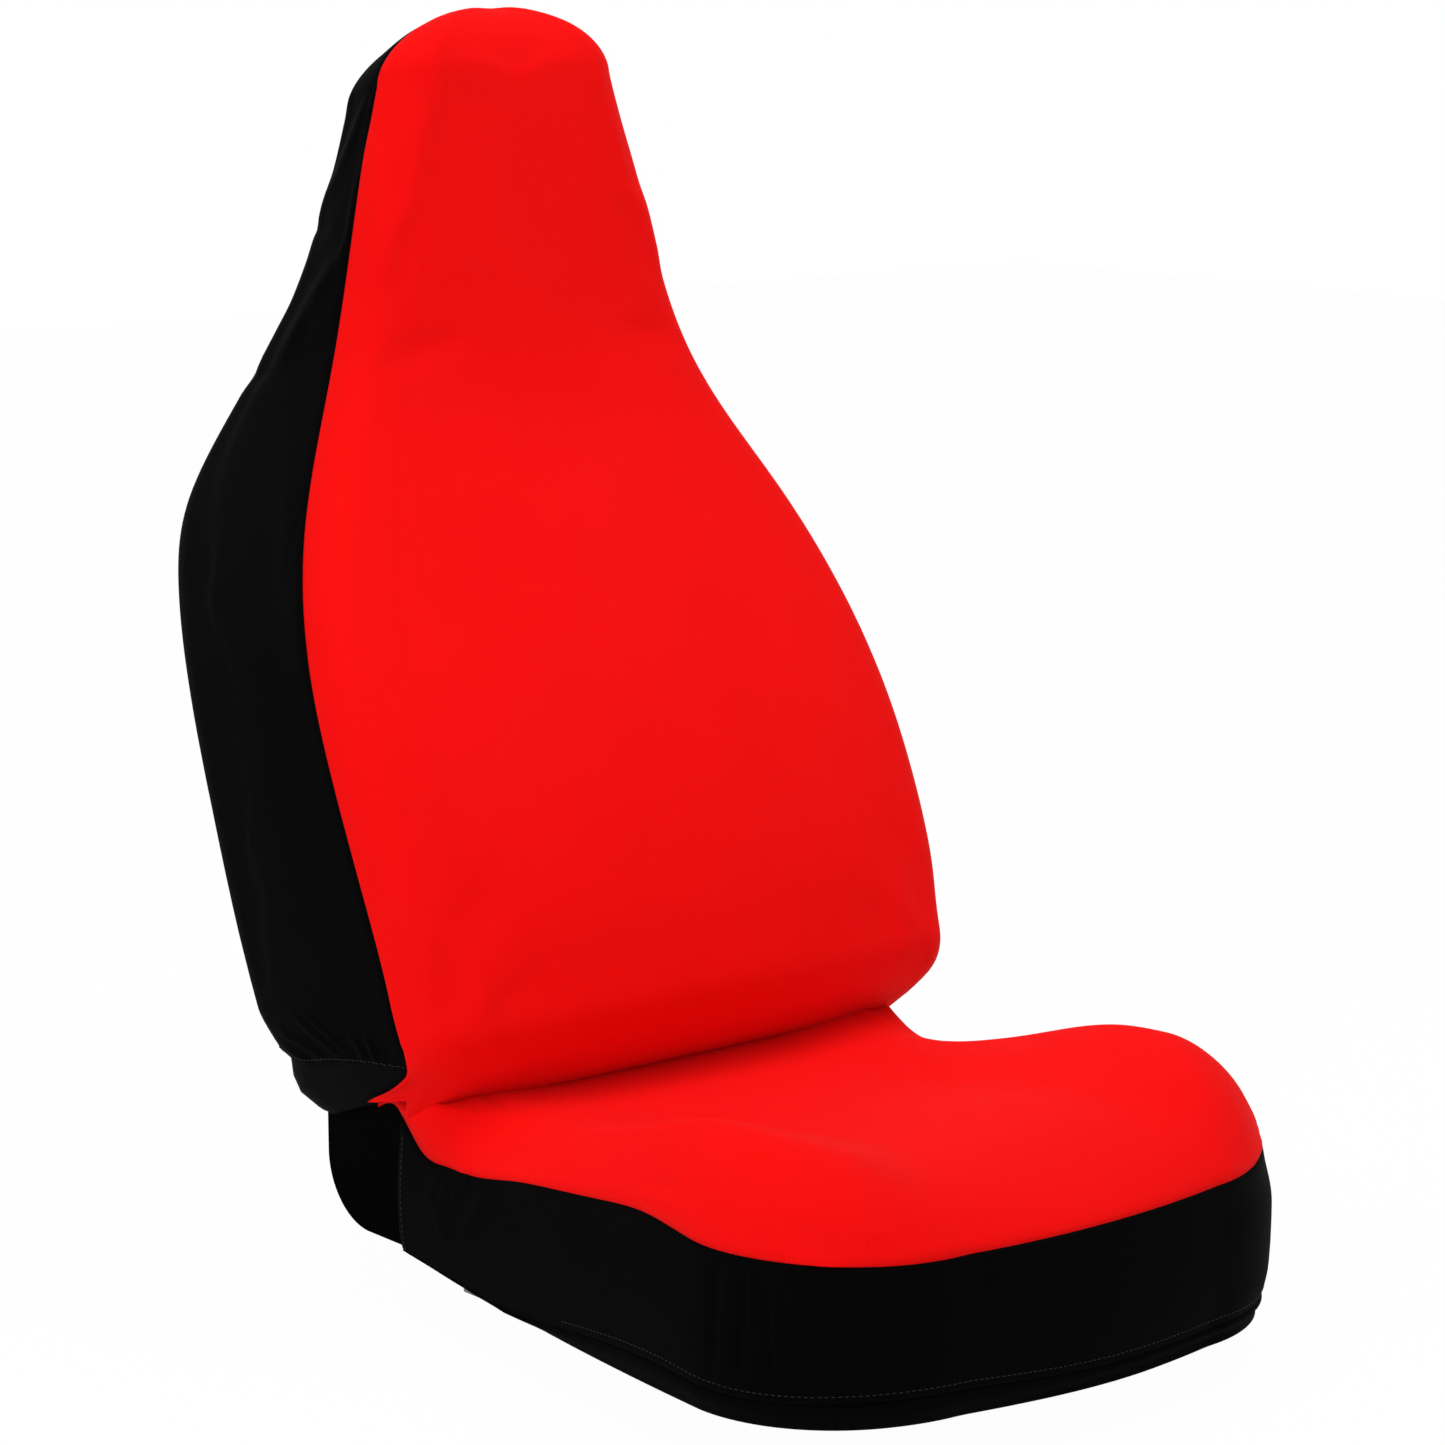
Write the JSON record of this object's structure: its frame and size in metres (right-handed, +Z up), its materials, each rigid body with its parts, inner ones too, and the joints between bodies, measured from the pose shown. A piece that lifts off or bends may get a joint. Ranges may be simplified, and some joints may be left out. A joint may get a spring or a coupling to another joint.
{
  "type": "bucket seat",
  "caption": "Reclining high-back bucket seat on slide rails, with an integral headrest and a two-colour slip-on cover.",
  "frame": {"origin": "centre of the four floor bolts, on the floor plane under the rail feet", "axes": "+Z up, the sitter faces -Y, +X is the sitter's left"},
  "size_m": [0.55, 0.8366, 0.9726],
  "materials": {
    "red_fabric": "stretch polyester knit, matt",
    "black_fabric": "stretch polyester knit, matt",
    "upholstery": "moulded foam with bonded black trim",
    "shield_plastic": "fine grain",
    "black_steel": "satin black paint",
    "zinc_steel": "zinc plated",
    "cage_plastic": "natural nylon",
    "lever_plastic": "fine grain"
  },
  "bodies": {
    "floor_rails": {"front_feet": "zinc_steel", "rear_feet": "zinc_steel", "lower_rail_left": "zinc_steel", "lower_rail_right": "zinc_steel"},
    "slide_cage_left": {"slide_cage_left": "cage_plastic", "slide_rollers_left": "zinc_steel"},
    "slide_cage_right": {"slide_cage_right": "cage_plastic", "slide_rollers_right": "zinc_steel"},
    "seat_base": {"upper_rail_left": "zinc_steel", "upper_rail_right": "zinc_steel", "release_pins": "zinc_steel", "cushion_side_member_left": "black_steel", "cushion_side_member_right": "black_steel", "cushion_pan": "black_steel", "rear_cross_tube": "black_steel", "cushion_straps": "zinc_steel", "recliner_rings": "zinc_steel", "side_shield_left": "shield_plastic", "side_shield_right": "shield_plastic", "rear_trim_panel": "shield_plastic", "cushion_pad": "upholstery", "seat_cover_top": "red_fabric", "seat_cover_skirt": "black_fabric", "seat_cover_hem": "black_fabric"},
    "backrest": {"recliner_plates": "zinc_steel", "recliner_pawls": "zinc_steel", "back_side_member_left": "black_steel", "back_side_member_right": "black_steel", "back_lower_channel": "black_steel", "back_straps": "zinc_steel", "shoulder_arch": "black_steel", "head_frame": "black_steel", "backrest_pad": "upholstery", "back_cover_front": "red_fabric", "back_cover_sides": "black_fabric"},
    "recliner_lever": {"recliner_shaft": "zinc_steel", "recliner_cams": "zinc_steel", "recliner_lever": "lever_plastic"},
    "slide_release": {"release_bar": "black_steel", "lock_plate_left": "zinc_steel", "lock_plate_right": "zinc_steel"}
  },
  "joints": [
    {"name": "seat_slide", "type": "slide", "parent": "floor_rails", "child": "seat_base", "axis": [0, -1, 0], "range_m": [-0.1, 0.1]},
    {"name": "cage_roll_left", "type": "slide", "parent": "floor_rails", "child": "slide_cage_left", "axis": [0, -1, 0], "range_m": [-0.05, 0.05]},
    {"name": "cage_roll_right", "type": "slide", "parent": "floor_rails", "child": "slide_cage_right", "axis": [0, -1, 0], "range_m": [-0.05, 0.05]},
    {"name": "backrest_recline", "type": "hinge", "parent": "seat_base", "child": "backrest", "pos_m": [0, 0.186, 0.088], "axis": [-1, 0, 0], "range_deg": [-6, 35]},
    {"name": "recliner_lever_lift", "type": "hinge", "parent": "seat_base", "child": "recliner_lever", "pos_m": [0, 0.186, 0.088], "axis": [-1, 0, 0], "range_deg": [0, 25], "stiffness_Nm_per_rad": 1.5, "springref_deg": -28.65},
    {"name": "slide_release_lift", "type": "hinge", "parent": "seat_base", "child": "slide_release", "pos_m": [0, -0.035, 0.0287], "axis": [-1, 0, 0], "range_deg": [0, 4], "stiffness_Nm_per_rad": 8, "springref_deg": -11.46}
  ],
  "couplings": [
    {"joint": "cage_roll_left", "follows": "seat_slide", "ratio": 0.5},
    {"joint": "cage_roll_right", "follows": "seat_slide", "ratio": 0.5}
  ]
}
